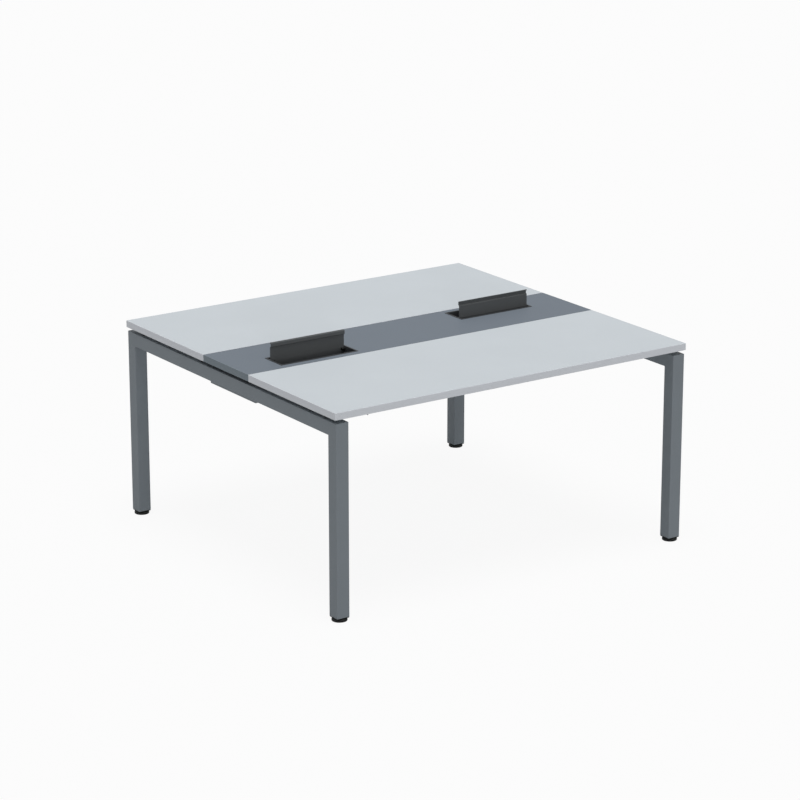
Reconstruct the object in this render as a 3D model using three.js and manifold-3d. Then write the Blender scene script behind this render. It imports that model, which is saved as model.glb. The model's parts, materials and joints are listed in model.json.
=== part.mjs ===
// Benching desk for two: two worktops face to face, a spine panel with a cable flap for each user,
// two welded end frames, two beams, a cable tray and four levelling feet.
// Millimetres, +Z up. The origin is on the floor under the middle of the desk.
// +X runs along the worktops, -Y is the near user's side and +Y the far user's side.

import * as THREE from 'three';
import { mergeVertices } from 'three/addons/utils/BufferGeometryUtils.js';
import Module from 'manifold-3d';

const wasm = await Module();
wasm.setup();

// Driving dimensions: the whole desk
const DESK_LENGTH = 1500;
const DESK_DEPTH = 1400;
const DESK_HEIGHT = 745;

// Driving dimensions: boards
const BOARD_THICKNESS = 25;
const BOARD_GAP = 1;
const BOARD_CORNER_RADIUS = 3;
const EDGE_BAND_THICKNESS = 2;
const SPINE_WIDTH = 300;

// Driving dimensions: end frames of square tube
const TUBE_SIZE = 50;
const TUBE_WALL = 2;
const TUBE_CORNER_RADIUS = 2.5;
const FRAME_END_INSET = 5;
const FRAME_SIDE_INSET = 2.5;

// Driving dimensions: spacers that hold the boards off the frame
const SPACER_HEIGHT = 14;
const SPACER_DIAMETER = 24;
const SPACER_EDGE_DISTANCE = 40;
const BEAM_SPACER_PITCH = 700;

// Driving dimensions: beams along the desk, beside the spine panel
const BEAM_WIDTH = 25;
const BEAM_HEIGHT = 50;
const BEAM_WALL = 2;
const BEAM_SPINE_CLEARANCE = 12.5;
const BEAM_PLATE_WIDTH = 65;
const BEAM_PLATE_THICKNESS = 4;

// Driving dimensions: one angle arm under each worktop, on its user's left
const ARM_LEG = 40;
const ARM_THICKNESS = 3;
const ARM_END_DISTANCE = 196;
const ARM_EDGE_DISTANCE = 100;

// Driving dimensions: ties between the beams, under the spine panel
const TIE_FLANGE_WIDTH = 40;
const TIE_THICKNESS = 3;
const TIE_WEB_HEIGHT = 40;
const TIE_LEG_WIDTH = 25;
const TIE_LEG_DROP = 30;
const TIE_RAIL_DISTANCE = 45;

// Driving dimensions: cable tray
const TRAY_BEAM_CLEARANCE = 12.5;
const TRAY_SHEET = 2;
const TRAY_DROP = 20.5;
const TRAY_WALL_HEIGHT = 42;
const TRAY_PLATE_CLEARANCE = 1;
const TRAY_RAIL_OVERLAP = 26;
const TRAY_LIP = 14;

// Driving dimensions: levelling feet
const PAD_DIAMETER = 55;
const PAD_HEIGHT = 11.8;
const PAD_FOOT_CHAMFER = 2;
const PAD_SHOULDER_HEIGHT = 8;
const PAD_SHOULDER_WIDTH = 5;
const PAD_SOCKET_DEPTH = 6;
const STUD_DIAMETER = 8;
const STUD_LENGTH = 46;
const PLUG_FLANGE_THICKNESS = 2.5;
const PLUG_FLANGE_INSET = 0.5;
const PLUG_BODY_HEIGHT = 25;

// Driving dimensions: cable flaps
const FLAP_LENGTH = 317;
const FLAP_WIDTH = 104;
const FLAP_END_DISTANCE = 158;
const FLAP_CENTRE_DISTANCE = 14.5;
const COLLAR_WALL = 2;
const COLLAR_DEPTH = 45;
const COLLAR_LIP_WIDTH = 2.5;
const COLLAR_LIP_THICKNESS = 2;
const COLLAR_SEAT_DEPTH = 0.5;
const COLLAR_REST_LENGTH = 30;
const COLLAR_REST_PITCH = 160;
const COLLAR_REST_OVERLAP = 5;
const COLLAR_REST_THICKNESS = 3;
const LID_THICKNESS = 3;
const LID_PIVOT_DEPTH = 7;
const LID_TAIL = 24.4;
const LID_NOSE_WIDTH = 4;
const LID_GROOVE_RETURN_WIDTH = 0.5;
const LID_GROOVE_FLOOR_WIDTH = 8.5;
const LID_GROOVE_SLOPE_WIDTH = 4;
const LID_GROOVE_DEPTH = 5;
const LUG_DIAMETER = 9;
const LUG_LENGTH = 14;
const PIN_DIAMETER = 4;
const PIN_ENGAGEMENT = 8;
const STOP_TAB_LENGTH = 5;
const STOP_TAB_HEIGHT = 8;
const STOP_TAB_DEPTH = 6;

// Clearances
const RUNNING_CLEARANCE = 0.3;
const COLLAR_FIT = 0.5;
const LID_END_CLEARANCE = 1.5;
const LID_TIP_CLEARANCE = 4;
const LID_SWING_CLEARANCE = 0.6;
const CUT_OVERRUN = 1;

// Facets on round stretches
const ROUND_SEGMENTS = 24;
const CORNER_SEGMENTS = 4;

// Levels, from the floor up
const LEG_BOTTOM = PAD_HEIGHT + RUNNING_CLEARANCE + PLUG_FLANGE_THICKNESS;
const BOARD_UNDERSIDE = DESK_HEIGHT - BOARD_THICKNESS;
const FRAME_TOP = BOARD_UNDERSIDE - SPACER_HEIGHT;
const RAIL_BOTTOM = FRAME_TOP - TUBE_SIZE;
const TRAY_BOTTOM = RAIL_BOTTOM - TRAY_DROP;

// Places along X
const RAIL_X = DESK_LENGTH / 2 - FRAME_END_INSET - TUBE_SIZE / 2;
const RAIL_INNER_X = RAIL_X - TUBE_SIZE / 2;
const FLAP_X = DESK_LENGTH / 2 - FLAP_END_DISTANCE - FLAP_LENGTH / 2;

// Places along Y
const LEG_Y = DESK_DEPTH / 2 - FRAME_SIDE_INSET - TUBE_SIZE / 2;
const RAIL_END_Y = LEG_Y - TUBE_SIZE / 2;
const SPINE_EDGE_Y = SPINE_WIDTH / 2;
const WORKTOP_INNER_Y = SPINE_EDGE_Y + BOARD_GAP;
const WORKTOP_WIDTH = DESK_DEPTH / 2 - WORKTOP_INNER_Y;
const BEAM_INNER_Y = SPINE_EDGE_Y + BEAM_SPINE_CLEARANCE;
const BEAM_OUTER_Y = BEAM_INNER_Y + BEAM_WIDTH;
const BEAM_Y = BEAM_INNER_Y + BEAM_WIDTH / 2;
const TRAY_EDGE_Y = BEAM_INNER_Y - TRAY_BEAM_CLEARANCE;

// The near user's flap: its opening spans -FLAP_FAR_Y to -FLAP_CENTRE_DISTANCE,
// with the hinge at the middle of the desk
const FLAP_FAR_Y = FLAP_CENTRE_DISTANCE + FLAP_WIDTH;
const COLLAR_LENGTH = FLAP_LENGTH - 2 * COLLAR_FIT;
const COLLAR_WIDTH = FLAP_WIDTH - 2 * COLLAR_FIT;
const COLLAR_INNER_LENGTH = COLLAR_LENGTH - 2 * COLLAR_WALL;
const COLLAR_INNER_WIDTH = COLLAR_WIDTH - 2 * COLLAR_WALL;
const COLLAR_SEAT = DESK_HEIGHT - COLLAR_SEAT_DEPTH;
const COLLAR_TOP = COLLAR_SEAT + COLLAR_LIP_THICKNESS;
const COLLAR_BOTTOM = DESK_HEIGHT - COLLAR_DEPTH;
const HINGE_WALL_Y = FLAP_CENTRE_DISTANCE + COLLAR_FIT + COLLAR_WALL;
const PIVOT_Y = HINGE_WALL_Y + Math.hypot(LID_TAIL, LID_PIVOT_DEPTH) + LID_SWING_CLEARANCE;
const PIVOT_Z = DESK_HEIGHT - LID_PIVOT_DEPTH;
const LID_TIP_Y = FLAP_FAR_Y - COLLAR_FIT - COLLAR_WALL - LID_TIP_CLEARANCE;
const LID_REACH = LID_TIP_Y - PIVOT_Y;
const LID_LENGTH = COLLAR_INNER_LENGTH - 2 * LID_END_CLEARANCE;

const PALE_LAMINATE = { color: 0xc8cdd6, roughness: 0.55, metalness: 0 };
const PALE_EDGE = { color: 0xb6babf, roughness: 0.5, metalness: 0 };
const GREY_LAMINATE = { color: 0x78808a, roughness: 0.55, metalness: 0 };
const GREY_EDGE = { color: 0x6a7179, roughness: 0.5, metalness: 0 };
const GREY_COAT = { color: 0x646970, roughness: 0.6, metalness: 0.2 };
const CHARCOAL = { color: 0x3d4040, roughness: 0.45, metalness: 0.5 };
const DARK_PLASTIC = { color: 0x3f4143, roughness: 0.6, metalness: 0 };
const BLACK_PLASTIC = { color: 0x101112, roughness: 0.6, metalness: 0 };
const ZINC = { color: 0x9a9da0, roughness: 0.35, metalness: 1 };

const desk = new THREE.Group();

function addPiece(parent, name, geometry, finish) {
  const mesh = new THREE.Mesh(geometry, new THREE.MeshStandardMaterial(finish));
  mesh.name = name;
  parent.add(mesh);
  return mesh;
}

function toSolid(geometry) {
  const bare = geometry.clone();
  bare.deleteAttribute('normal');
  bare.deleteAttribute('uv');
  const merged = mergeVertices(bare);
  const vertProperties = new Float32Array(merged.attributes.position.array);
  const triVerts = new Uint32Array(merged.index.array);
  return new wasm.Manifold(new wasm.Mesh({ numProp: 3, vertProperties, triVerts }));
}

function toGeometry(solid) {
  const mesh = solid.getMesh();
  const geometry = new THREE.BufferGeometry();
  geometry.setAttribute('position', new THREE.BufferAttribute(new Float32Array(mesh.vertProperties), 3));
  geometry.setIndex(new THREE.BufferAttribute(new Uint32Array(mesh.triVerts), 1));
  geometry.computeVertexNormals();
  return geometry;
}

// Joins the first list of geometries and takes the second list away
function shape(joined, removed = []) {
  const [first, ...others] = joined.map(toSolid);
  const body = others.reduce((sum, solid) => sum.add(solid), first);
  return toGeometry(removed.map(toSolid).reduce((rest, solid) => rest.subtract(solid), body));
}

function boxBetween(x, y, z) {
  const box = new THREE.BoxGeometry(x[1] - x[0], y[1] - y[0], z[1] - z[0]);
  return box.translate((x[0] + x[1]) / 2, (y[0] + y[1]) / 2, (z[0] + z[1]) / 2);
}

function centredBox(sizeX, sizeY, z, centre = [0, 0]) {
  const x = [centre[0] - sizeX / 2, centre[0] + sizeX / 2];
  const y = [centre[1] - sizeY / 2, centre[1] + sizeY / 2];
  return boxBetween(x, y, z);
}

function roundedRectangle(width, height, radius) {
  const x = width / 2;
  const y = height / 2;
  const outline = new THREE.Shape();
  outline.absarc(x - radius, y - radius, radius, 0, Math.PI / 2);
  outline.absarc(-x + radius, y - radius, radius, Math.PI / 2, Math.PI);
  outline.absarc(-x + radius, -y + radius, radius, Math.PI, 1.5 * Math.PI);
  outline.absarc(x - radius, -y + radius, radius, 1.5 * Math.PI, 2 * Math.PI);
  outline.closePath();
  return outline;
}

function extrude(outline, depth) {
  return new THREE.ExtrudeGeometry(outline, { depth, bevelEnabled: false, curveSegments: CORNER_SEGMENTS });
}

function post(diameter, bottom, top, x = 0, y = 0) {
  const cylinder = new THREE.CylinderGeometry(diameter / 2, diameter / 2, top - bottom, ROUND_SEGMENTS);
  return cylinder.rotateX(Math.PI / 2).translate(x, y, (top + bottom) / 2);
}

// A cylinder along X at the flap's pivot
function pivotRod(diameter, from, to) {
  const rod = new THREE.CylinderGeometry(diameter / 2, diameter / 2, to - from, ROUND_SEGMENTS);
  return rod.rotateZ(Math.PI / 2).translate((from + to) / 2, -PIVOT_Y, PIVOT_Z);
}

// A board is a core with an edge band all round it
function addBoard(name, bandName, width, centreY, cutOuts, finish, bandFinish) {
  const coreLength = DESK_LENGTH - 2 * EDGE_BAND_THICKNESS;
  const coreWidth = width - 2 * EDGE_BAND_THICKNESS;
  const core = centredBox(coreLength, coreWidth, [BOARD_UNDERSIDE, DESK_HEIGHT], [0, centreY]);
  addPiece(desk, name, shape([core], cutOuts), finish);

  const band = roundedRectangle(DESK_LENGTH, width, BOARD_CORNER_RADIUS);
  const inside = new THREE.Path();
  inside.moveTo(-coreLength / 2, -coreWidth / 2);
  inside.lineTo(-coreLength / 2, coreWidth / 2);
  inside.lineTo(coreLength / 2, coreWidth / 2);
  inside.lineTo(coreLength / 2, -coreWidth / 2);
  inside.closePath();
  band.holes.push(inside);
  addPiece(desk, bandName, extrude(band, BOARD_THICKNESS).translate(0, centreY, BOARD_UNDERSIDE), bandFinish);
}

// The spine panel has an opening for each flap, with a shallow seat round it for the collar's lip
function addBoards() {
  const cutTop = DESK_HEIGHT + CUT_OVERRUN;
  const seatRim = COLLAR_LIP_WIDTH + COLLAR_FIT;
  const flapMiddleY = FLAP_CENTRE_DISTANCE + FLAP_WIDTH / 2;
  const cutOuts = [-1, 1].flatMap((side) => {
    const centre = [side * FLAP_X, side * flapMiddleY];
    return [
      centredBox(FLAP_LENGTH, FLAP_WIDTH, [BOARD_UNDERSIDE - CUT_OVERRUN, cutTop], centre),
      centredBox(FLAP_LENGTH + 2 * seatRim, FLAP_WIDTH + 2 * seatRim, [COLLAR_SEAT, cutTop], centre),
    ];
  });
  const worktopY = WORKTOP_INNER_Y + WORKTOP_WIDTH / 2;
  addBoard('worktop_near', 'edge_band_near', WORKTOP_WIDTH, -worktopY, [], PALE_LAMINATE, PALE_EDGE);
  addBoard('worktop_far', 'edge_band_far', WORKTOP_WIDTH, worktopY, [], PALE_LAMINATE, PALE_EDGE);
  addBoard('spine_panel', 'edge_band_spine', SPINE_WIDTH, 0, cutOuts, GREY_LAMINATE, GREY_EDGE);
}

// A leg is a square tube closed at its top, with its plug, stud and pad at the open lower end
function addLeg(place, x, y) {
  const section = roundedRectangle(TUBE_SIZE, TUBE_SIZE, TUBE_CORNER_RADIUS);
  const boreSize = TUBE_SIZE - 2 * TUBE_WALL;
  const tube = extrude(section, FRAME_TOP - LEG_BOTTOM).translate(x, y, LEG_BOTTOM);
  const bore = centredBox(boreSize, boreSize, [LEG_BOTTOM - CUT_OVERRUN, FRAME_TOP - TUBE_WALL], [x, y]);
  addPiece(desk, `leg_${place}`, shape([tube], [bore]), GREY_COAT);

  const flangeSize = TUBE_SIZE - 2 * PLUG_FLANGE_INSET;
  const bodySize = boreSize - 2 * RUNNING_CLEARANCE;
  const flangeBottom = LEG_BOTTOM - PLUG_FLANGE_THICKNESS;
  const plugTop = LEG_BOTTOM + PLUG_BODY_HEIGHT;
  const flange = extrude(roundedRectangle(flangeSize, flangeSize, TUBE_CORNER_RADIUS), PLUG_FLANGE_THICKNESS);
  const body = centredBox(bodySize, bodySize, [flangeBottom, plugTop], [x, y]);
  const studHoleDiameter = STUD_DIAMETER + 2 * RUNNING_CLEARANCE;
  const studHole = post(studHoleDiameter, flangeBottom - CUT_OVERRUN, plugTop + CUT_OVERRUN, x, y);
  const plug = shape([flange.translate(x, y, flangeBottom), body], [studHole]);
  addPiece(desk, `leg_plug_${place}`, plug, BLACK_PLASTIC);

  const padRadius = PAD_DIAMETER / 2;
  const socketRadius = studHoleDiameter / 2;
  const socketFloor = PAD_HEIGHT - PAD_SOCKET_DEPTH;
  const padProfile = [
    [0, 0],
    [padRadius - PAD_FOOT_CHAMFER, 0],
    [padRadius, PAD_FOOT_CHAMFER],
    [padRadius, PAD_SHOULDER_HEIGHT],
    [padRadius - PAD_SHOULDER_WIDTH, PAD_HEIGHT],
    [socketRadius, PAD_HEIGHT],
    [socketRadius, socketFloor],
    [0, socketFloor],
  ].map(([radius, height]) => new THREE.Vector2(radius, height));
  const pad = new THREE.LatheGeometry(padProfile, ROUND_SEGMENTS).rotateX(Math.PI / 2);
  addPiece(desk, `foot_pad_${place}`, shape([pad.translate(x, y, 0)]), BLACK_PLASTIC);

  const studBottom = socketFloor + RUNNING_CLEARANCE;
  addPiece(desk, `foot_stud_${place}`, post(STUD_DIAMETER, studBottom, studBottom + STUD_LENGTH, x, y), ZINC);
}

function addEndFrame(side, x) {
  addLeg(`${side}_near`, x, -LEG_Y);
  addLeg(`${side}_far`, x, LEG_Y);

  const railLength = 2 * RAIL_END_Y;
  const section = roundedRectangle(TUBE_SIZE, TUBE_SIZE, TUBE_CORNER_RADIUS);
  const boreSize = TUBE_SIZE - 2 * TUBE_WALL;
  const bore = roundedRectangle(boreSize, boreSize, TUBE_CORNER_RADIUS - TUBE_WALL);
  section.holes.push(new THREE.Path(bore.getPoints(CORNER_SEGMENTS).reverse()));
  const rail = extrude(section, railLength).rotateX(Math.PI / 2);
  addPiece(desk, `end_rail_${side}`, rail.translate(x, RAIL_END_Y, FRAME_TOP - TUBE_SIZE / 2), GREY_COAT);
}

function addSpacer(name, x, y) {
  addPiece(desk, name, post(SPACER_DIAMETER, FRAME_TOP, BOARD_UNDERSIDE, x, y), BLACK_PLASTIC);
}

function addSpacers() {
  const places = {
    front: RAIL_END_Y - SPACER_EDGE_DISTANCE,
    back: WORKTOP_INNER_Y + SPACER_EDGE_DISTANCE,
    spine: SPINE_EDGE_Y - SPACER_EDGE_DISTANCE,
  };
  for (const [end, x] of [['left', -RAIL_X], ['right', RAIL_X]]) {
    for (const [user, sign] of [['near', -1], ['far', 1]]) {
      for (const [place, y] of Object.entries(places)) {
        addSpacer(`rail_spacer_${end}_${user}_${place}`, x, sign * y);
      }
      addSpacer(`beam_spacer_${end}_${user}`, Math.sign(x) * BEAM_SPACER_PITCH / 2, sign * BEAM_Y);
    }
  }
}

// A beam is a tube with a plate at each end, which bolts to the inner face of an end rail
function addBeam(name, y) {
  const z = [FRAME_TOP - BEAM_HEIGHT, FRAME_TOP];
  const boreZ = [z[0] + BEAM_WALL, z[1] - BEAM_WALL];
  const tube = centredBox(2 * RAIL_INNER_X, BEAM_WIDTH, z, [0, y]);
  const bore = centredBox(2 * (RAIL_INNER_X + CUT_OVERRUN), BEAM_WIDTH - 2 * BEAM_WALL, boreZ, [0, y]);
  const plateX = RAIL_INNER_X - BEAM_PLATE_THICKNESS / 2;
  const plates = [-1, 1].map((side) =>
    centredBox(BEAM_PLATE_THICKNESS, BEAM_PLATE_WIDTH, z, [side * plateX, y]));
  addPiece(desk, name, shape([tube, ...plates], [bore]), GREY_COAT);
}

// An angle arm runs from the beam out under the worktop, on the user's left
function addArm(name, turn) {
  const group = new THREE.Group();
  group.rotation.z = turn;
  desk.add(group);
  const outerX = -DESK_LENGTH / 2 + ARM_END_DISTANCE;
  const y = [-DESK_DEPTH / 2 + ARM_EDGE_DISTANCE, -BEAM_OUTER_Y];
  const webZ = [BOARD_UNDERSIDE - ARM_LEG, BOARD_UNDERSIDE];
  const flangeZ = [BOARD_UNDERSIDE - ARM_THICKNESS, BOARD_UNDERSIDE];
  const web = boxBetween([outerX, outerX + ARM_THICKNESS], y, webZ);
  const flange = boxBetween([outerX, outerX + ARM_LEG], y, flangeZ);
  addPiece(group, name, shape([web, flange]), GREY_COAT);
}

// A tie carries the spine panel on its flange, and its two legs hold the tray's walls
function addTie(name, x) {
  const webX = [x - TIE_THICKNESS / 2, x + TIE_THICKNESS / 2];
  const flangeX = [x - TIE_FLANGE_WIDTH / 2, x + TIE_FLANGE_WIDTH / 2];
  const webBottom = BOARD_UNDERSIDE - TIE_WEB_HEIGHT;
  const beamToBeam = [-BEAM_INNER_Y, BEAM_INNER_Y];
  const wallInnerY = TRAY_EDGE_Y - TRAY_SHEET;
  const web = boxBetween(webX, beamToBeam, [webBottom, BOARD_UNDERSIDE]);
  const flange = boxBetween(flangeX, beamToBeam, [BOARD_UNDERSIDE - TIE_THICKNESS, BOARD_UNDERSIDE]);
  const legZ = [webBottom - TIE_LEG_DROP, BOARD_UNDERSIDE];
  const legs = [[-wallInnerY, -wallInnerY + TIE_LEG_WIDTH], [wallInnerY - TIE_LEG_WIDTH, wallInnerY]];
  addPiece(desk, name, shape([web, flange, ...legs.map((y) => boxBetween(webX, y, legZ))]), GREY_COAT);
}

// The tray is a folded trough. Its low ends pass under the end rails and hang from them by a lip.
function addTray() {
  const endX = RAIL_INNER_X + TRAY_RAIL_OVERLAP;
  const wallEndX = RAIL_INNER_X - BEAM_PLATE_THICKNESS - TRAY_PLATE_CLEARANCE;
  const innerY = TRAY_EDGE_Y - TRAY_SHEET;
  const floorTop = TRAY_BOTTOM + TRAY_SHEET;
  const wallTop = TRAY_BOTTOM + TRAY_WALL_HEIGHT;
  const outside = [
    centredBox(2 * wallEndX, 2 * TRAY_EDGE_Y, [TRAY_BOTTOM, wallTop]),
    centredBox(2 * endX, 2 * TRAY_EDGE_Y, [TRAY_BOTTOM, RAIL_BOTTOM]),
  ];
  const lipBottom = RAIL_BOTTOM - TRAY_SHEET;
  const inside = [
    centredBox(2 * (endX - TRAY_SHEET), 2 * innerY, [floorTop, lipBottom]),
    centredBox(2 * (endX - TRAY_LIP), 2 * innerY, [floorTop, wallTop + CUT_OVERRUN]),
  ];
  addPiece(desk, 'cable_tray', shape(outside, inside), GREY_COAT);
}

// The outline of a thin strip: the given line, and the same line moved to its right
// by the strip's thickness. The strip ends square to the first axis.
function stripOutline(line, thickness) {
  const runs = line.slice(1).map((end, i) => new THREE.Vector2().subVectors(end, line[i]).normalize());
  const moved = line.map((point, i) => {
    const before = runs[Math.max(i - 1, 0)];
    const after = runs[Math.min(i, runs.length - 1)];
    if (before === after) {
      return new THREE.Vector2(point.x, point.y - thickness / before.x);
    }
    const mitre = new THREE.Vector2(before.y + after.y, -before.x - after.x).normalize();
    const spread = mitre.x * before.y - mitre.y * before.x;
    return point.clone().addScaledVector(mitre, thickness / spread);
  });
  return new THREE.Shape([...moved, ...line.slice().reverse()]);
}

// The lid as it stands open. Its section runs from the tail, past the pivot and the finger groove,
// to the nose at the free edge. A lug at each end takes the pin.
function lidGeometry() {
  const noseStart = LID_REACH - LID_NOSE_WIDTH;
  const floorEnd = noseStart - LID_GROOVE_RETURN_WIDTH;
  const floorStart = floorEnd - LID_GROOVE_FLOOR_WIDTH;
  const floorOut = LID_PIVOT_DEPTH - LID_GROOVE_DEPTH;
  const outerFace = [
    [-LID_TAIL, LID_PIVOT_DEPTH],
    [floorStart - LID_GROOVE_SLOPE_WIDTH, LID_PIVOT_DEPTH],
    [floorStart, floorOut],
    [floorEnd, floorOut],
    [noseStart, LID_PIVOT_DEPTH],
    [LID_REACH, LID_PIVOT_DEPTH],
  ].map(([along, out]) => new THREE.Vector2(along, out));
  const plate = extrude(stripOutline(outerFace, LID_THICKNESS), LID_LENGTH).rotateY(-Math.PI / 2);
  plate.translate(LID_LENGTH / 2, -PIVOT_Y, PIVOT_Z);
  const lidEnd = LID_LENGTH / 2;
  const plateMiddleY = -PIVOT_Y + LID_PIVOT_DEPTH - LID_THICKNESS / 2;
  const lugZ = [PIVOT_Z - LUG_DIAMETER / 2, PIVOT_Z + LUG_DIAMETER / 2];
  const lugs = [[-lidEnd, -lidEnd + LUG_LENGTH], [lidEnd - LUG_LENGTH, lidEnd]].flatMap((x) =>
    [pivotRod(LUG_DIAMETER, ...x), boxBetween(x, [-PIVOT_Y, plateMiddleY], lugZ)]);
  const boreEnd = lidEnd + CUT_OVERRUN;
  return shape([plate, ...lugs], [pivotRod(PIN_DIAMETER + 2 * RUNNING_CLEARANCE, -boreEnd, boreEnd)]);
}

// The collar drops into the opening until its lip is in the seat.
// It carries the pivots and stops the lid, open and shut.
function collarGeometry() {
  const middleY = -(FLAP_CENTRE_DISTANCE + FLAP_WIDTH / 2);
  const wholeDepth = [COLLAR_BOTTOM, COLLAR_TOP];
  const cutDepth = [COLLAR_BOTTOM - CUT_OVERRUN, COLLAR_TOP + CUT_OVERRUN];
  const walls = centredBox(COLLAR_LENGTH, COLLAR_WIDTH, wholeDepth, [0, middleY]);
  const inside = centredBox(COLLAR_INNER_LENGTH, COLLAR_INNER_WIDTH, cutDepth, [0, middleY]);
  const lipLength = FLAP_LENGTH + 2 * COLLAR_LIP_WIDTH;
  const lipWidth = FLAP_WIDTH + 2 * COLLAR_LIP_WIDTH;
  const lip = centredBox(lipLength, lipWidth, [COLLAR_SEAT, COLLAR_TOP], [0, middleY]);

  const innerX = COLLAR_INNER_LENGTH / 2;
  const outerX = COLLAR_LENGTH / 2;
  const pinHole = pivotRod(PIN_DIAMETER + 2 * RUNNING_CLEARANCE, -outerX - CUT_OVERRUN, outerX + CUT_OVERRUN);
  const shell = shape([walls, lip], [inside, pinHole]);

  const restTop = DESK_HEIGHT - LID_GROOVE_DEPTH - LID_THICKNESS - RUNNING_CLEARANCE;
  const restY = [-FLAP_FAR_Y + COLLAR_FIT + COLLAR_WALL, -LID_TIP_Y + COLLAR_REST_OVERLAP];
  const rests = [-COLLAR_REST_PITCH / 2, COLLAR_REST_PITCH / 2].map((x) => boxBetween(
    [x - COLLAR_REST_LENGTH / 2, x + COLLAR_REST_LENGTH / 2],
    restY,
    [restTop - COLLAR_REST_THICKNESS, restTop]));

  const tabY = -PIVOT_Y + LID_PIVOT_DEPTH - LID_THICKNESS - RUNNING_CLEARANCE;
  const tabBottom = PIVOT_Z - LID_TAIL;
  const tabInnerX = innerX - LID_END_CLEARANCE - STOP_TAB_LENGTH;
  const tabs = [[-innerX, -tabInnerX], [tabInnerX, innerX]].map((x) =>
    boxBetween(x, [tabY - STOP_TAB_DEPTH, tabY], [tabBottom, tabBottom + STOP_TAB_HEIGHT]));
  return shape([shell, ...rests, ...tabs]);
}

// Both flaps are alike: the near user's is on the left, and the far user's is turned half round
function addFlap(side, turn) {
  const group = new THREE.Group();
  group.rotation.z = turn;
  desk.add(group);
  const flap = new THREE.Group();
  flap.position.x = -FLAP_X;
  group.add(flap);
  addPiece(flap, `flap_collar_${side}`, collarGeometry(), DARK_PLASTIC);
  addPiece(flap, `flap_lid_${side}`, lidGeometry(), CHARCOAL);
  const pinOuter = COLLAR_LENGTH / 2;
  const pinInner = LID_LENGTH / 2 - PIN_ENGAGEMENT;
  addPiece(flap, `flap_pin_${side}_a`, pivotRod(PIN_DIAMETER, -pinOuter, -pinInner), ZINC);
  addPiece(flap, `flap_pin_${side}_b`, pivotRod(PIN_DIAMETER, pinInner, pinOuter), ZINC);
}

addBoards();
addEndFrame('left', -RAIL_X);
addEndFrame('right', RAIL_X);
addSpacers();
addBeam('beam_near', -BEAM_Y);
addBeam('beam_far', BEAM_Y);
addArm('support_arm_near', 0);
addArm('support_arm_far', Math.PI);
addTie('spine_tie_left', -RAIL_INNER_X + TIE_RAIL_DISTANCE);
addTie('spine_tie_middle', 0);
addTie('spine_tie_right', RAIL_INNER_X - TIE_RAIL_DISTANCE);
addTray();
addFlap('left', 0);
addFlap('right', Math.PI);

export default desk;
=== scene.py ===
"""Looks of a benching desk for two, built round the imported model.

Metres, +Z up. The origin is on the floor under the middle of the desk, +X runs along the worktops
and -Y is the near user's side. Half a turn about Z brings the desk onto itself.
"""

import json
import math

import bmesh
import bpy
from mathutils import Matrix, Vector


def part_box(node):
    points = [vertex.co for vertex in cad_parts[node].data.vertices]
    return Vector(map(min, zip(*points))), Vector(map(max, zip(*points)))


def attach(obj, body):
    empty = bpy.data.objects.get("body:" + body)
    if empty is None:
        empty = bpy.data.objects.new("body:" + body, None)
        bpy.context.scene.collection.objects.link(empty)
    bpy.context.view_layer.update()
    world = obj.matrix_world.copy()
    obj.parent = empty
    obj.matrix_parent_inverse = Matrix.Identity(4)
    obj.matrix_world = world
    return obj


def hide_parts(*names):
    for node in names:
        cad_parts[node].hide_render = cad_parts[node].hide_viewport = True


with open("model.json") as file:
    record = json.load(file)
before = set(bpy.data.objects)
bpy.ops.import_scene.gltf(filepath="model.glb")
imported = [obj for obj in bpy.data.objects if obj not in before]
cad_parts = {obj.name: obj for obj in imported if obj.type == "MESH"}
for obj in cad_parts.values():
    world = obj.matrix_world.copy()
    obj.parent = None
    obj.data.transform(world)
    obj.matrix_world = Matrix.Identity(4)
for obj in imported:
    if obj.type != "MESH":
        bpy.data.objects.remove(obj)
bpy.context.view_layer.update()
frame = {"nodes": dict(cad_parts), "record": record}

MM = 0.001

# Camera, at the photograph's place and angle
CAMERA_PLACE = (-5.9700, -8.6961, 3.7120)
CAMERA_YAW = -34.423
CAMERA_PITCH = 17.005
CAMERA_LENS = 136.07
CAMERA_SENSOR = 36.0
CAMERA_REACH = 200.0

# Light: a soft one from above, a weak one from low in front, and an even sky
SKY_STRENGTH = 0.34
KEY_STRENGTH = 1.99
KEY_SPREAD = 35
KEY_FROM = (-0.05, -0.15, 1.0)
FILL_STRENGTH = 0.60
FILL_SPREAD = 12
FILL_FROM = (-0.40, -0.87, 0.11)
FLOOR_SIZE = 120.0
FLOOR_COLOUR = (0.66, 0.66, 0.66)
FLOOR_GLOW_SHARE = 0.92

# Colours, linear
WORKTOP_COLOUR = (0.582, 0.623, 0.655)
# Painted shade: the worktop edging's colour is darker than its face, standing in for the shade on the
# boards' vertical sides
WORKTOP_EDGE_SHADED_COLOUR = (0.563, 0.586, 0.622)
SPINE_COLOUR = (0.174, 0.201, 0.234)
# Painted shade: the spine edging's colour is darker than its face, standing in for the shade on the panel's
# vertical sides
SPINE_EDGE_SHADED_COLOUR = (0.151, 0.182, 0.207)
COAT_COLOUR = (0.178, 0.201, 0.221)
LID_COLOUR = (0.083, 0.088, 0.091)
FLAP_FRAME_COLOUR = (0.050, 0.053, 0.056)
BLACK_COLOUR = (0.009, 0.010, 0.010)
ZINC_COLOUR = (0.560, 0.570, 0.590)

# Shine of the finishes
LAMINATE_SPECULAR = 0.03
EDGE_SPECULAR = 0.2
COAT_SPECULAR = 0.2
PLASTIC_SPECULAR = 0.15

# The middle of the noise's range, over which a finish varies
NOISE_LOW = 0.3
NOISE_HIGH = 0.7

# Boards
LAMINATE_ARRIS = 0.2 * MM
BAND_RADIUS = 1.0 * MM
BAND_THICKNESS = 2.0 * MM
BOARD_CORNER = 3.0 * MM

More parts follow.
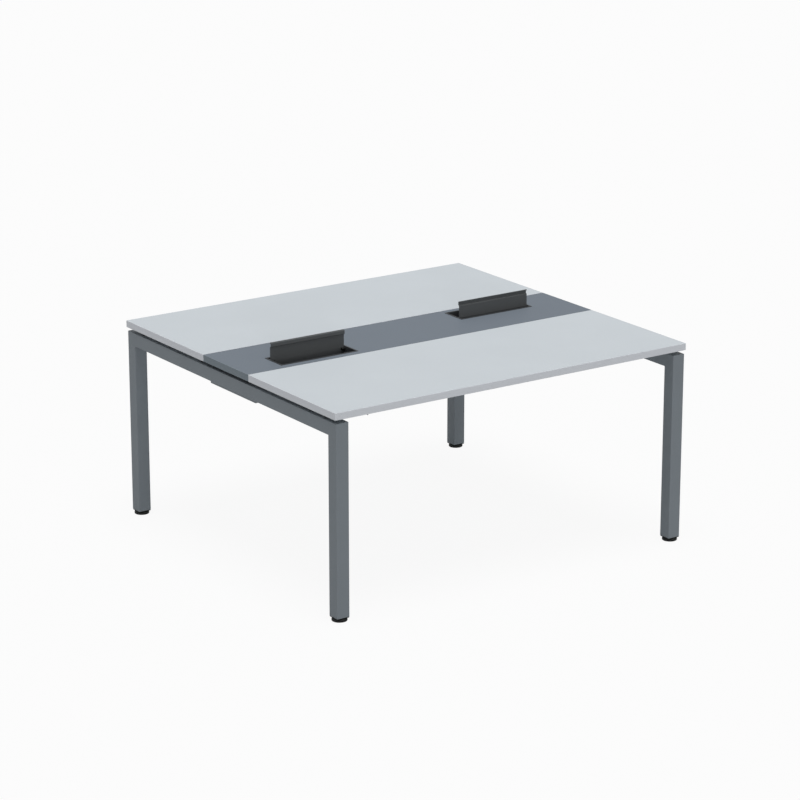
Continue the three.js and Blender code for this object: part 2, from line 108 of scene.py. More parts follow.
# Tubes, plates and folded sheet
TUBE_WALL = 2.0 * MM
TUBE_CORNER = 2.5 * MM
TUBE_BORE_CORNER = 0.5 * MM
TUBE_ARRIS = 0.9 * MM
BEAM_WIDTH = 25.0 * MM
PLATE_THICKNESS = 4.0 * MM
PLATE_CORNER = 3.0 * MM
PLATE_ARRIS = 0.4 * MM
ARM_THICKNESS = 3.0 * MM
TIE_THICKNESS = 3.0 * MM
TIE_WEB_HEIGHT = 40.0 * MM
TIE_LEG_WIDTH = 25.0 * MM
TRAY_SHEET = 2.0 * MM
TRAY_FOLD = 3.0 * MM
TRAY_FOLD_STEPS = 4
SHEET_ARRIS = 0.5 * MM

# Welds
BEAD_LEG = 2.6 * MM
BEAD_PITCH = 2.4 * MM
BEAD_STEP = 0.4 * MM
BEAD_RIPPLE = 0.09
BEAD_CROWN = 1.4
BEAD_TAPER_STEPS = 6
BEAD_TAPER_START = 2

# Bolts, screws and rail caps
BOLT_RADIUS = 6.0 * MM
BOLT_HEIGHT = 3.6 * MM
BOLT_ARRIS = 0.4 * MM
BOLT_CROWN = 2.52 * MM
BOLT_RIM_RADIUS = 3.3 * MM
BOLT_SOCKET = 4.5 * MM
BOLT_SOCKET_FLOOR = 1.26 * MM
BOLT_SOCKET_TIP = 1.08 * MM
BOLT_BELOW_TOP = 18.0 * MM
BOLT_FROM_BEAM = 22.5 * MM
SCREW_RADIUS = 4.0 * MM
SCREW_HEIGHT = 2.4 * MM
SCREW_CROWN = 1.44 * MM
SCREW_RIM_RADIUS = 2.4 * MM
SCREW_CROSS = 4.0 * MM
SCREW_CROSS_WIDTH = 1.1 * MM
SCREW_CROSS_FLOOR = 0.96 * MM
SCREW_CROSS_TIP = 0.72 * MM
ARM_SCREW_SHARES = (0.06, 0.5, 0.94)
TIE_SCREW_SHARES = (0.29, 0.22)
CAP_RADIUS = 7.0 * MM
CAP_HEIGHT = 1.4 * MM
CAP_CROWN = 1.12 * MM
CAP_DIMPLE_RADIUS = 2.1 * MM
CAP_DIMPLE_FLOOR_RADIUS = 1.68 * MM
CAP_DIMPLE_FLOOR = 0.98 * MM

# Feet and other turned or moulded pieces. The thread's crest and flanks are shares of its pitch
PAD_SHOULDER_HEIGHT = 8.0 * MM
PAD_SHOULDER_WIDTH = 5.0 * MM
PAD_BOTTOM_ROUND = 2.0 * MM
PAD_SHOULDER_ROUND = 2.5 * MM
PAD_TOP_ROUND = PAD_SHOULDER_WIDTH / 3
PAD_SOCKET_RADIUS = 4.3 * MM
PAD_SOCKET_DEPTH = 6.0 * MM
THREAD_PITCH = 1.25 * MM
THREAD_DEPTH = 0.7 * MM
THREAD_CREST = 0.15
THREAD_FLANKS = 0.65
THREAD_STEPS = 8
SPACER_LINE = 0.3 * MM
SPACER_ROUND = 0.8 * MM
MOULDED_ARRIS = 0.4 * MM
PIN_ARRIS = 0.3 * MM

# Flap lids
LID_THICKNESS = 3.0 * MM
LID_PIVOT_DEPTH = 7.0 * MM
LID_NOSE_WIDTH = 4.0 * MM
LID_GROOVE_RETURN_WIDTH = 0.5 * MM
LID_GROOVE_FLOOR_WIDTH = 8.5 * MM
LID_GROOVE_SLOPE_WIDTH = 4.0 * MM
LID_GROOVE_DEPTH = 5.0 * MM
LID_ROUND = 1.2 * MM
LID_HOLLOW = 0.6 * MM
LID_ARRIS = 0.5 * MM
LUG_RADIUS = 4.5 * MM
LUG_LENGTH = 14.0 * MM
LUG_BORE_RADIUS = 2.3 * MM
LUG_SHOULDER = 1.2 * MM

# Fineness of curves, and limits between sharp, eased and flat
ARC_STEPS = 6
ROUND_STEPS = 48
SHARP_ANGLE = math.radians(35)
EASED_ANGLE = math.radians(40)
FLAT_ANGLE = math.radians(1)
SAME_POINT = 0.001 * MM
SAME_LEVEL = 0.2 * MM
LEAST_ROUND_SHARE = 0.1

record = frame["record"]
BODY_OF = {node: body for body, nodes in record["behaviour"]["bodies"].items() for node in nodes}
SLOT_OF = {row["node"]: row["material_slot"] for row in record["subparts"]}
ENDS = ("left", "right")
USERS = ("near", "far")
TIE_PLACES = ("left", "middle", "right")
DOWN = Vector((0, 0, -1))


# Materials

def bare_material(name):
    """A material without a shader, its node tree and its output."""
    material = bpy.data.materials.new(name)
    material.use_nodes = True
    tree = material.node_tree
    tree.nodes.clear()
    return material, tree, tree.nodes.new("ShaderNodeOutputMaterial")


def new_material(name):
    """A material with a bare principled shader, its node tree and that shader."""
    material, tree, output = bare_material(name)
    shader = tree.nodes.new("ShaderNodeBsdfPrincipled")
    tree.links.new(shader.outputs["BSDF"], output.inputs["Surface"])
    return material, tree, shader


def noise(tree, size, detail=2.0, stretch=(1, 1, 1)):
    """Noise with features about size metres across, drawn out along each axis by stretch."""
    place = tree.nodes.new("ShaderNodeTexCoord")
    mapping = tree.nodes.new("ShaderNodeMapping")
    mapping.inputs["Scale"].default_value = [1 / (size * times) for times in stretch]
    texture = tree.nodes.new("ShaderNodeTexNoise")
    texture.inputs["Scale"].default_value = 1
    texture.inputs["Detail"].default_value = detail
    tree.links.new(place.outputs["Object"], mapping.inputs["Vector"])
    tree.links.new(mapping.outputs["Vector"], texture.inputs["Vector"])
    return texture.outputs["Fac"]


def average(tree, first, second, share):
    """share of the second value and the rest of the first."""
    mix = tree.nodes.new("ShaderNodeMix")
    mix.inputs["Factor"].default_value = share
    tree.links.new(first, mix.inputs["A"])
    tree.links.new(second, mix.inputs["B"])
    return mix.outputs["Result"]


def mottle(tree, shader, value, colour, share):
    """The colour, made darker and lighter by that share where the value is low and high."""
    ramp = tree.nodes.new("ShaderNodeValToRGB")
    low, high = ramp.color_ramp.elements
    low.position = NOISE_LOW
    low.color = [channel * (1 - share) for channel in colour] + [1]
    high.position = NOISE_HIGH
    high.color = [channel * (1 + share) for channel in colour] + [1]
    tree.links.new(value, ramp.inputs["Fac"])
    tree.links.new(ramp.outputs["Color"], shader.inputs["Base Color"])


def roughen(tree, shader, value, low, high):
    """Roughness from low to high as the value goes through its middle range."""
    spread = tree.nodes.new("ShaderNodeMapRange")
    spread.inputs["From Min"].default_value = NOISE_LOW
    spread.inputs["From Max"].default_value = NOISE_HIGH
    spread.inputs["To Min"].default_value = low
    spread.inputs["To Max"].default_value = high
    tree.links.new(value, spread.inputs["Value"])
    tree.links.new(spread.outputs["Result"], shader.inputs["Roughness"])


def relief(tree, shader, height, depth):
    """Bumps of that depth in metres."""
    bump = tree.nodes.new("ShaderNodeBump")
    bump.inputs["Distance"].default_value = depth
    tree.links.new(height, bump.inputs["Height"])
    tree.links.new(bump.outputs["Normal"], shader.inputs["Normal"])


def laminate(name, colour):
    """Melamine face: a faint cloudiness over a fine pearl texture."""
    material, tree, shader = new_material(name)
    cloud = noise(tree, 220 * MM, detail=3)
    grain = noise(tree, 1.6 * MM, detail=3)
    pearl = noise(tree, 0.7 * MM)
    shade = average(tree, cloud, grain, share=0.55)
    mottle(tree, shader, shade, colour, share=0.025)
    roughen(tree, shader, pearl, low=0.52, high=0.64)
    relief(tree, shader, pearl, depth=0.018 * MM)
    shader.inputs["Specular IOR Level"].default_value = LAMINATE_SPECULAR
    return material


def edge_band(name, colour):
    """Plastic edging: faint lines along the board from being drawn out."""
    material, tree, shader = new_material(name)
    lines = noise(tree, 0.9 * MM, stretch=(60, 60, 1))
    grain = noise(tree, 1.1 * MM)
    shade = average(tree, lines, grain, share=0.5)
    mottle(tree, shader, shade, colour, share=0.03)
    roughen(tree, shader, grain, low=0.46, high=0.58)
    relief(tree, shader, shade, depth=0.012 * MM)
    shader.inputs["Specular IOR Level"].default_value = EDGE_SPECULAR
    return material


def powder_coat(name, colour, peel, depth):
    """Baked coat on metal: orange peel of that size and depth with a finer grit in it."""
    material, tree, shader = new_material(name)
    orange_peel = noise(tree, peel, detail=1)
    grit = noise(tree, 0.4 * MM)
    cloud = noise(tree, 120 * MM)
    surface = average(tree, orange_peel, grit, share=0.3)
    shade = average(tree, cloud, grit, share=0.6)
    mottle(tree, shader, shade, colour, share=0.05)
    roughen(tree, shader, surface, low=0.5, high=0.62)
    relief(tree, shader, surface, depth)
    shader.inputs["Specular IOR Level"].default_value = COAT_SPECULAR
    return material


def moulded_plastic(name, colour):
    """Dark moulding with an eroded texture."""
    material, tree, shader = new_material(name)
    pits = noise(tree, 0.55 * MM, detail=3)
    flow = noise(tree, 12 * MM, detail=1)
    shade = average(tree, flow, pits, share=0.6)
    mottle(tree, shader, shade, colour, share=0.2)
    roughen(tree, shader, pits, low=0.5, high=0.65)
    relief(tree, shader, pits, depth=0.03 * MM)
    shader.inputs["Specular IOR Level"].default_value = PLASTIC_SPECULAR
    return material


def zinc_plate(name, colour):
    """Bright plated steel with fine turning marks."""
    material, tree, shader = new_material(name)
    marks = noise(tree, 0.3 * MM, stretch=(8, 8, 1))
    haze = noise(tree, 6 * MM)
    shade = average(tree, marks, haze, share=0.5)
    mottle(tree, shader, shade, colour, share=0.08)
    roughen(tree, shader, shade, low=0.26, high=0.4)
    relief(tree, shader, marks, depth=0.01 * MM)
    shader.inputs["Metallic"].default_value = 1
    return material


FINISH = {
    "worktop_laminate": laminate("worktop_laminate", WORKTOP_COLOUR),
    # Painted shade: both edge finishes are darker than their faces, standing in for the shade on the
    # vertical sides
    "worktop_edge": edge_band("worktop_edge", WORKTOP_EDGE_SHADED_COLOUR),
    "spine_laminate": laminate("spine_laminate", SPINE_COLOUR),
    "spine_edge": edge_band("spine_edge", SPINE_EDGE_SHADED_COLOUR),
    "frame_coat": powder_coat("frame_coat", COAT_COLOUR, peel=1.5 * MM, depth=0.035 * MM),
    "flap_frame": moulded_plastic("flap_frame", FLAP_FRAME_COLOUR),
    "lid_charcoal": powder_coat("lid_charcoal", LID_COLOUR, peel=0.8 * MM, depth=0.02 * MM),
    "black_plastic": moulded_plastic("black_plastic", BLACK_COLOUR),
    "zinc_steel": zinc_plate("zinc_steel", ZINC_COLOUR),
}


# Pieces

def add_piece(name, mesh, slot, body="desk"):
    """A piece from a bmesh, with its finish, riding on a body.

    Its shading is weighted by area, so flat faces stay flat up to their rounded edges.
    """
    bmesh.ops.recalc_face_normals(mesh, faces=mesh.faces)
    data = bpy.data.meshes.new(name)
    mesh.to_mesh(data)
    mesh.free()
    data.shade_smooth()
    data.set_sharp_from_angle(angle=SHARP_ANGLE)
    data.materials.append(FINISH[slot])
    piece = bpy.data.objects.new(name, data)
    bpy.context.scene.collection.objects.link(piece)
    even = piece.modifiers.new("even_shading", "WEIGHTED_NORMAL")
    even.keep_sharp = True
    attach(piece, body)
    return piece


def stand_for(node, mesh):
    """A piece that shows in place of a CAD node, with the node's own finish and body."""
    piece = add_piece(f"{node}_look", mesh, SLOT_OF[node], BODY_OF[node])
    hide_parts(node)


def middle_and_size(node):
    """The middle and the size of a CAD node's box."""
    low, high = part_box(node)
    return (low + high) / 2, high - low


def as_drawn(point):
    """The point itself, for a piece that stays where it is drawn."""
    return point


def half_turn(point):
    """The place that half a turn about Z takes a point to."""
    return Vector((-point.x, -point.y, point.z))


# Shapes that keep the node's own form, with its edges eased

def node_mesh(node):
    """A CAD node's shape with its corners joined and its flat faces whole."""
    mesh = bmesh.new()
    mesh.from_mesh(frame["nodes"][node].data)
    bmesh.ops.remove_doubles(mesh, verts=mesh.verts, dist=SAME_POINT)
    bmesh.ops.dissolve_limit(mesh, angle_limit=FLAT_ANGLE, verts=mesh.verts, edges=mesh.edges)
    return mesh


def ease_edges(mesh, radius, steps=2, chosen=lambda edge: True):
    """Rounds the chosen edges where two faces meet at more than the eased angle."""
    sharp = [edge for edge in mesh.edges if edge.is_manifold and edge.calc_face_angle() > EASED_ANGLE]
    bmesh.ops.bevel(
        mesh, geom=[edge for edge in sharp if chosen(edge)], offset=radius, segments=steps, profile=0.5,
        affect="EDGES", clamp_overlap=True)


def dress(node, radius, steps=2):
    """A CAD node's own shape with all its sharp edges rounded."""
    mesh = node_mesh(node)
    ease_edges(mesh, radius, steps)
    stand_for(node, mesh)


# Flat outlines, all counter-clockwise

def rectangle(width, height):
    """The corners of a rectangle round the origin."""
    x, y = width / 2, height / 2
    return [Vector((-x, -y)), Vector((x, -y)), Vector((x, y)), Vector((-x, y))]


def mitre(before, after, distance):
    """How far a corner between two directions moves when both its sides move left by a distance."""
    left = Vector((-before.y - after.y, before.x + after.x))
    return left * (distance / (1 + before.dot(after)))


def neighbours(corners, i):
    """The unit directions into and out of corner i of a closed outline."""
    before = (corners[i] - corners[i - 1]).normalized()
    after = (corners[(i + 1) % len(corners)] - corners[i]).normalized()
    return before, after


def inset(corners, distance):
    """A closed outline with every side moved in by a distance."""
    return [corner + mitre(*neighbours(corners, i), distance) for i, corner in enumerate(corners)]


def inset_radii(corners, radii, distance):
    """The radii that keep the arcs of an inset outline round the same centres."""
    kept = []
    for i, radius in enumerate(radii):
        before, after = neighbours(corners, i)
        hollow = before.cross(after) < 0
        kept.append(radius + distance if hollow else max(radius - distance, radius * LEAST_ROUND_SHARE))
    return kept


def rounded(corners, radii):
    """A closed outline with each corner turned into an arc. A corner with no radius stays a point."""
    points = []
    for i, (corner, radius) in enumerate(zip(corners, radii)):
        if radius == 0:
            points.append(corner)
            continue
        before, after = neighbours(corners, i)
        half = (math.pi - before.angle(after)) / 2
        centre = corner + (after - before).normalized() * (radius / math.sin(half))
        reach = radius / math.tan(half)
        start = corner - before * reach - centre
        end = corner + after * reach - centre
        points += [centre + start.slerp(end, step / ARC_STEPS) * radius for step in range(ARC_STEPS + 1)]
    return points


# Solids from outlines and profiles

def bridge(mesh, rings, closed):
    """Faces between neighbouring rings of vertices, and from the last to the first if closed."""
    count = len(rings)
    for i in range(count if closed else count - 1):
        here, following = rings[i], rings[(i + 1) % count]
        for j in range(len(here)):
            k = (j + 1) % len(here)
            mesh.faces.new((here[j], following[j], following[k], here[k]))


def close_ends(mesh, rings):
    """Faces between neighbouring rings, and one over each end."""
    bridge(mesh, rings, closed=False)
    mesh.faces.new(rings[0])
    mesh.faces.new(rings[-1])


def add_bar(mesh, corners, radii, span, to_desk, ease):
    """A bar of a section with its ends eased.

    to_desk(u, v, w) is the place of section point u, v at w along the bar.
    """
    whole = rounded(corners, radii)
    eased = rounded(inset(corners, ease), inset_radii(corners, radii, ease))
    stations = ((eased, span[0]), (whole, span[0] + ease), (whole, span[1] - ease), (eased, span[1]))
    rings = [[mesh.verts.new(to_desk(p.x, p.y, w)) for p in outline] for outline, w in stations]
    close_ends(mesh, rings)


def tube_rings(mesh, width, height, stations, to_desk):
    """Rings of a rectangular tube. A station is how far in from the outside, and where along the tube."""
    rings = []
    for inward, w in stations:
        corners = inset(rectangle(width, height), inward)
        outline = rounded(corners, [max(TUBE_CORNER - inward, TUBE_BORE_CORNER)] * 4)
        rings.append([mesh.verts.new(to_desk(p.x, p.y, w)) for p in outline])
    return rings


def add_open_tube(mesh, width, height, end, to_desk):
    """A rectangular tube from -end to end, open at both."""
    stations = ((0, -end), (0, end), (TUBE_WALL, end), (TUBE_WALL, -end))
    bridge(mesh, tube_rings(mesh, width, height, stations, to_desk), closed=True)


def turned_profile(*corners):
    """A (radius, height) profile from corners given as radius, height and rounding."""
    return rounded([Vector(corner[:2]) for corner in corners], [corner[2] for corner in corners])


def add_turned(mesh, profile, place, axis=(0, 0, 1), reach=None):
    """A turned solid. The profile runs from axis to axis, or is closed if it starts away from the axis.

    reach(angle, radius, height) is the distance from the axis where the piece isn't round.
    """
    turn = Vector((0, 0, 1)).rotation_difference(Vector(axis)).to_matrix().to_4x4()
    spot = Matrix.Translation(place) @ turn
    closed = profile[0].x > 0
    rings = []
    for radius, height in (profile if closed else profile[1:-1]):
        ring = []
        for step in range(ROUND_STEPS):
            angle = 2 * math.pi * step / ROUND_STEPS
            out = reach(angle, radius, height) if reach else radius
            point = Vector((out * math.cos(angle), out * math.sin(angle), height))
            ring.append(mesh.verts.new(spot @ point))
        rings.append(ring)
    bridge(mesh, rings, closed)
    if closed:
        return
    for ring, end in ((rings[0], profile[0]), (rings[-1], profile[-1])):
        tip = mesh.verts.new(spot @ Vector((0, 0, end.y)))
        for j in range(ROUND_STEPS):
            mesh.faces.new((tip, ring[j], ring[(j + 1) % ROUND_STEPS]))


# Boards

def add_edge_band(node):
    """Edging with round outer arrises, swept round the board."""
    middle, size = middle_and_size(node)
    top = size.z / 2
    section = [Vector(point) for point in (
        (-BAND_THICKNESS, -top),
        (0, -top),
        (0, top),
        (-BAND_THICKNESS, top),
    )]
    profile = rounded(section, [LAMINATE_ARRIS, BAND_RADIUS, BAND_RADIUS, LAMINATE_ARRIS])
    to_x = size.x / 2 - BOARD_CORNER
    to_y = size.y / 2 - BOARD_CORNER
    mesh = bmesh.new()
    rings = []
    for quarter, (side_x, side_y) in enumerate(((1, 1), (-1, 1), (-1, -1), (1, -1))):
        centre = middle + Vector((side_x * to_x, side_y * to_y, 0))
        for step in range(ARC_STEPS + 1):
            angle = (quarter + step / ARC_STEPS) * math.pi / 2
            out = Vector((math.cos(angle), math.sin(angle), 0))
            rings.append([
                mesh.verts.new(centre + out * (BOARD_CORNER + p.x) + Vector((0, 0, p.y))) for p in profile])
    bridge(mesh, rings, closed=True)
    stand_for(node, mesh)


def add_boards():
    for node in ("worktop_near", "worktop_far", "spine_panel"):
        dress(node, LAMINATE_ARRIS, steps=1)
    for node in ("edge_band_near", "edge_band_far", "edge_band_spine"):
        add_edge_band(node)


# Frame

def add_leg(node):
    """A square tube with its top closed and its edges eased."""
    middle, size = middle_and_size(node)
    low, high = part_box(node)
    stations = (
        (TUBE_WALL, high.z - TUBE_WALL),
        (TUBE_WALL, low.z),
        (TUBE_ARRIS, low.z),
        (0, low.z + TUBE_ARRIS),
        (0, high.z - TUBE_ARRIS),
        (TUBE_ARRIS, high.z),
    )

    def upright(u, v, w):
        return Vector((middle.x + u, middle.y + v, w))

    mesh = bmesh.new()
    close_ends(mesh, tube_rings(mesh, size.x, size.y, stations, upright))
    stand_for(node, mesh)


def add_end_rail(node):
    """A square tube whose welded ends run into the legs' round corners, ground flush with their faces."""
    middle, size = middle_and_size(node)

    def along_y(u, v, w):
        return middle + Vector((u, w, v))

    mesh = bmesh.new()
    add_open_tube(mesh, size.x, size.z, size.y / 2 + TUBE_CORNER, along_y)
    stand_for(node, mesh)


def add_beam(node):
    """A tube with a plate welded on each end."""
    middle, size = middle_and_size(node)
    end = size.x / 2

    def along_x(u, v, w):
        return middle + Vector((w, u, v))

    mesh = bmesh.new()
    add_open_tube(mesh, BEAM_WIDTH, size.z, end, along_x)
    for span in ((-end, PLATE_THICKNESS - end), (end - PLATE_THICKNESS, end)):
        add_bar(mesh, rectangle(size.y, size.z), [PLATE_CORNER] * 4, span, along_x, PLATE_ARRIS)
    stand_for(node, mesh)


def add_support_arm(node, to_desk):
    """A rolled angle: its web hangs at the outer side, and its flange carries the worktop."""
    low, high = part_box("support_arm_near")
    corners = [
        Vector((low.x, low.z)),
        Vector((low.x + ARM_THICKNESS, low.z)),
        Vector((low.x + ARM_THICKNESS, high.z - ARM_THICKNESS)),
        Vector((high.x, high.z - ARM_THICKNESS)),
        Vector((high.x, high.z)),
        Vector((low.x, high.z)),
    ]
    radii = [SHEET_ARRIS, ARM_THICKNESS / 2, ARM_THICKNESS, ARM_THICKNESS / 2, SHEET_ARRIS, SHEET_ARRIS]

    def along_y(u, v, w):
        return to_desk(Vector((u, w, v)))

    mesh = bmesh.new()
    add_bar(mesh, corners, radii, (low.y, high.y), along_y, SHEET_ARRIS)
    stand_for(node, mesh)


def add_tie(node):
    """A flange under the spine panel on a cut plate, whose two legs hold the tray."""
    middle, size = middle_and_size(node)
    low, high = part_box(node)
    web_bottom = high.z - TIE_WEB_HEIGHT
    flange_middle = high.z - TIE_THICKNESS / 2
    leg_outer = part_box("cable_tray")[1].y - TRAY_SHEET
    leg_inner = leg_outer - TIE_LEG_WIDTH
    lower_half = [(leg_inner, web_bottom), (leg_inner, low.z), (leg_outer, low.z), (leg_outer, web_bottom)]
    lower_edge = [(-y, z) for y, z in reversed(lower_half)] + lower_half
    rest = [(high.y, web_bottom), (high.y, flange_middle), (low.y, flange_middle), (low.y, web_bottom)]
    corners = [Vector(point) for point in lower_edge + rest]
    radii = [TIE_THICKNESS] * len(lower_edge) + [SHEET_ARRIS] * len(rest)
    thickness = (middle.x - TIE_THICKNESS / 2, middle.x + TIE_THICKNESS / 2)
    flange = rectangle(size.x, TIE_THICKNESS)

    def along_x(u, v, w):
        return Vector((w, u, v))

    def along_y(u, v, w):
        return Vector((middle.x + u, w, flange_middle + v))

    mesh = bmesh.new()
    add_bar(mesh, corners, radii, thickness, along_x, PLATE_ARRIS)
    add_bar(mesh, flange, [SHEET_ARRIS] * 4, (low.y, high.y), along_y, PLATE_ARRIS)
    stand_for(node, mesh)


def add_tray():
    """Folded sheet, with wide radii along the folds of its floor."""
    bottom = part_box("cable_tray")[0].z
    mesh = node_mesh("cable_tray")

    def at_level(z):
        """A test for the edges that lie at a height."""
        return lambda edge: all(abs(vert.co.z - z) < SAME_LEVEL for vert in edge.verts)

    ease_edges(mesh, TRAY_FOLD, TRAY_FOLD_STEPS, at_level(bottom))
    ease_edges(mesh, TRAY_FOLD - TRAY_SHEET, TRAY_FOLD_STEPS, at_level(bottom + TRAY_SHEET))
    ease_edges(mesh, SHEET_ARRIS)
    stand_for("cable_tray", mesh)


def add_spacer(node):
    """A moulded bush with eased edges and a fine parting line."""
    middle, size = middle_and_size(node)
    radius, top = size.x / 2, size.z / 2
    profile = turned_profile(
        (0, -top, 0),
        (radius, -top, SPACER_ROUND),
        (radius, -SPACER_LINE, 0),
        (radius - SPACER_LINE, 0, 0),
        (radius, SPACER_LINE, 0),
        (radius, top, SPACER_ROUND),
        (0, top, 0),
    )
    mesh = bmesh.new()
    add_turned(mesh, profile, middle)
    stand_for(node, mesh)


def add_frame():
    for end in ENDS:
        add_end_rail(f"end_rail_{end}")
        for user in USERS:
            add_leg(f"leg_{end}_{user}")
            dress(f"leg_plug_{end}_{user}", MOULDED_ARRIS)
            add_spacer(f"beam_spacer_{end}_{user}")
            for place in ("front", "back", "spine"):
                add_spacer(f"rail_spacer_{end}_{user}_{place}")
    for user in USERS:
        add_beam(f"beam_{user}")
    add_support_arm("support_arm_near", as_drawn)
    add_support_arm("support_arm_far", half_turn)
    for place in TIE_PLACES:
        add_tie(f"spine_tie_{place}")
    add_tray()


# Welds

def add_bead(mesh, start, end, first, second):
    """A weld bead in the corner along start to end, which reaches out along two faces."""
    count = round((end - start).length / BEAD_STEP)
    rings = []
    for i in range(count + 1):
        ripple = 1 + BEAD_RIPPLE * math.cos(2 * math.pi * i * BEAD_STEP / BEAD_PITCH)
        taper = min(1, (min(i, count - i) + BEAD_TAPER_START) / BEAD_TAPER_STEPS)
        leg = BEAD_LEG * ripple * taper
        spot = start.lerp(end, i / count)
        ring = [mesh.verts.new(spot)]
        for step in range(ARC_STEPS + 1):
            angle = step / ARC_STEPS * math.pi / 2
            u, v = abs(math.cos(angle)) ** BEAD_CROWN, abs(math.sin(angle)) ** BEAD_CROWN
            ring.append(mesh.verts.new(spot + first * (leg * u) + second * (leg * v)))
        rings.append(ring)
    close_ends(mesh, rings)


def add_leg_beads(mesh):
    """Beads under each end rail, where it meets the legs."""
    for end in ENDS:
        low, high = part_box(f"end_rail_{end}")
        for side, y in ((-1, low.y), (1, high.y)):
            start = Vector((low.x + TUBE_CORNER, y, low.z))
            finish = Vector((high.x - TUBE_CORNER, y, low.z))
            add_bead(mesh, start, finish, Vector((0, -side, 0)), DOWN)


def add_beam_beads(mesh):
    """Beads up both sides of each beam, where it meets its end plates."""
    for user in USERS:
        middle, size = middle_and_size(f"beam_{user}")
        rise = Vector((0, 0, size.z / 2 - TUBE_CORNER))
        for end in (-1, 1):
            for side in (-1, 1):
                corner = middle + Vector((end * (size.x / 2 - PLATE_THICKNESS), side * BEAM_WIDTH / 2, 0))
                add_bead(mesh, corner - rise, corner + rise, Vector((-end, 0, 0)), Vector((0, side, 0)))


def add_web_beads(mesh, x, y, z_span, thickness, outward):
    """Beads up both sides of a hanging web, where its end meets a beam. outward is away from the beam."""
    for side in (-1, 1):
        start = Vector((x + side * thickness / 2, y, z_span[0]))
        finish = Vector((start.x, y, z_span[1]))
        add_bead(mesh, start, finish, Vector((side, 0, 0)), Vector((0, outward, 0)))


def add_welds():
    mesh = bmesh.new()
    add_leg_beads(mesh)
    add_beam_beads(mesh)
    beam_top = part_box("beam_near")[1].z
    for place in TIE_PLACES:
        low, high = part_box(f"spine_tie_{place}")
        z_span = (high.z - TIE_WEB_HEIGHT + TIE_THICKNESS, beam_top - TIE_THICKNESS)
        for y, outward in ((low.y, 1), (high.y, -1)):
            add_web_beads(mesh, (low.x + high.x) / 2, y, z_span, TIE_THICKNESS, outward)
    low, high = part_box("support_arm_near")
    z_span = (low.z + ARM_THICKNESS, beam_top - ARM_THICKNESS)
    web_middle = low.x + ARM_THICKNESS / 2
    for side in (1, -1):
        add_web_beads(mesh, side * web_middle, side * high.y, z_span, ARM_THICKNESS, -side)
    add_piece("frame_welds", mesh, "frame_coat")


# Fasteners

def hexagon(angle, across):
    """How far a hexagon of that width reaches out at an angle."""
    return across / 2 / math.cos(angle % (math.pi / 3) - math.pi / 6)


def cross(angle, length, width):
    """How far a cross reaches out at an angle."""
    turn = (angle + math.pi / 4) % (math.pi / 2) - math.pi / 4
    side = abs(math.sin(turn))
    tip = length / 2 / math.cos(turn)
    return tip if side * tip <= width / 2 else width / 2 / side


def add_head(mesh, profile, place, axis, recess):
    """A turned head. Its recess, at the profile's last radius, reaches out by recess(angle) instead."""
    recess_radius = profile[-2].x

    def shaped(angle, radius, height):
        return recess(angle) if radius == recess_radius else radius

    add_turned(mesh, profile, place, axis, shaped)


def add_bolt_head(mesh, place, axis):
    """A button head with a hexagon socket."""
    profile = turned_profile(
        (0, 0, 0),
        (BOLT_RADIUS, 0, BOLT_ARRIS),
        (BOLT_RADIUS, BOLT_HEIGHT, BOLT_CROWN),
        (BOLT_RIM_RADIUS, BOLT_HEIGHT, 0),
        (BOLT_SOCKET / 2, BOLT_HEIGHT, 0),
        (BOLT_SOCKET / 2, BOLT_SOCKET_FLOOR, 0),
        (0, BOLT_SOCKET_TIP, 0),
    )
    add_head(mesh, profile, place, axis, lambda angle: hexagon(angle, BOLT_SOCKET))


def add_screw_head(mesh, place):
    """A pan head with a cross recess, screwed up into a board."""
    profile = turned_profile(
        (0, 0, 0),
        (SCREW_RADIUS, 0, 0),
        (SCREW_RADIUS, SCREW_HEIGHT, SCREW_CROWN),
        (SCREW_RIM_RADIUS, SCREW_HEIGHT, 0),
        (SCREW_CROSS / 2, SCREW_HEIGHT, 0),
        (SCREW_CROSS / 2, SCREW_CROSS_FLOOR, 0),
        (0, SCREW_CROSS_TIP, 0),
    )
    add_head(mesh, profile, place, DOWN, lambda angle: cross(angle, SCREW_CROSS, SCREW_CROSS_WIDTH))


def add_bolts():
    """Two bolts through each beam end plate into the end rail."""
    mesh = bmesh.new()
    for user in USERS:
        middle, size = middle_and_size(f"beam_{user}")
        z = middle.z + size.z / 2 - BOLT_BELOW_TOP
        for end in (-1, 1):
            x = end * (size.x / 2 - PLATE_THICKNESS)
            for side in (-1, 1):
                add_bolt_head(mesh, Vector((x, middle.y + side * BOLT_FROM_BEAM, z)), Vector((-end, 0, 0)))
    add_piece("beam_bolts", mesh, "zinc_steel")


def add_screws():
    """Screws up into the boards through the arms' and ties' flanges."""
    mesh = bmesh.new()
    low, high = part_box("support_arm_near")
    flange_x = (low.x + ARM_THICKNESS + high.x) / 2
    for share in ARM_SCREW_SHARES:
        spot = Vector((flange_x, low.y + (high.y - low.y) * share, high.z - ARM_THICKNESS))
        add_screw_head(mesh, spot)
        add_screw_head(mesh, half_turn(spot))
    share_x, share_y = TIE_SCREW_SHARES
    for place in TIE_PLACES:
        middle, size = middle_and_size(f"spine_tie_{place}")
        z = middle.z + size.z / 2 - TIE_THICKNESS
        for x in (middle.x - size.x * share_x, middle.x + size.x * share_x):
            for y in (-size.y * share_y, size.y * share_y):
                add_screw_head(mesh, Vector((x, y, z)))
    add_piece("board_screws", mesh, "zinc_steel")


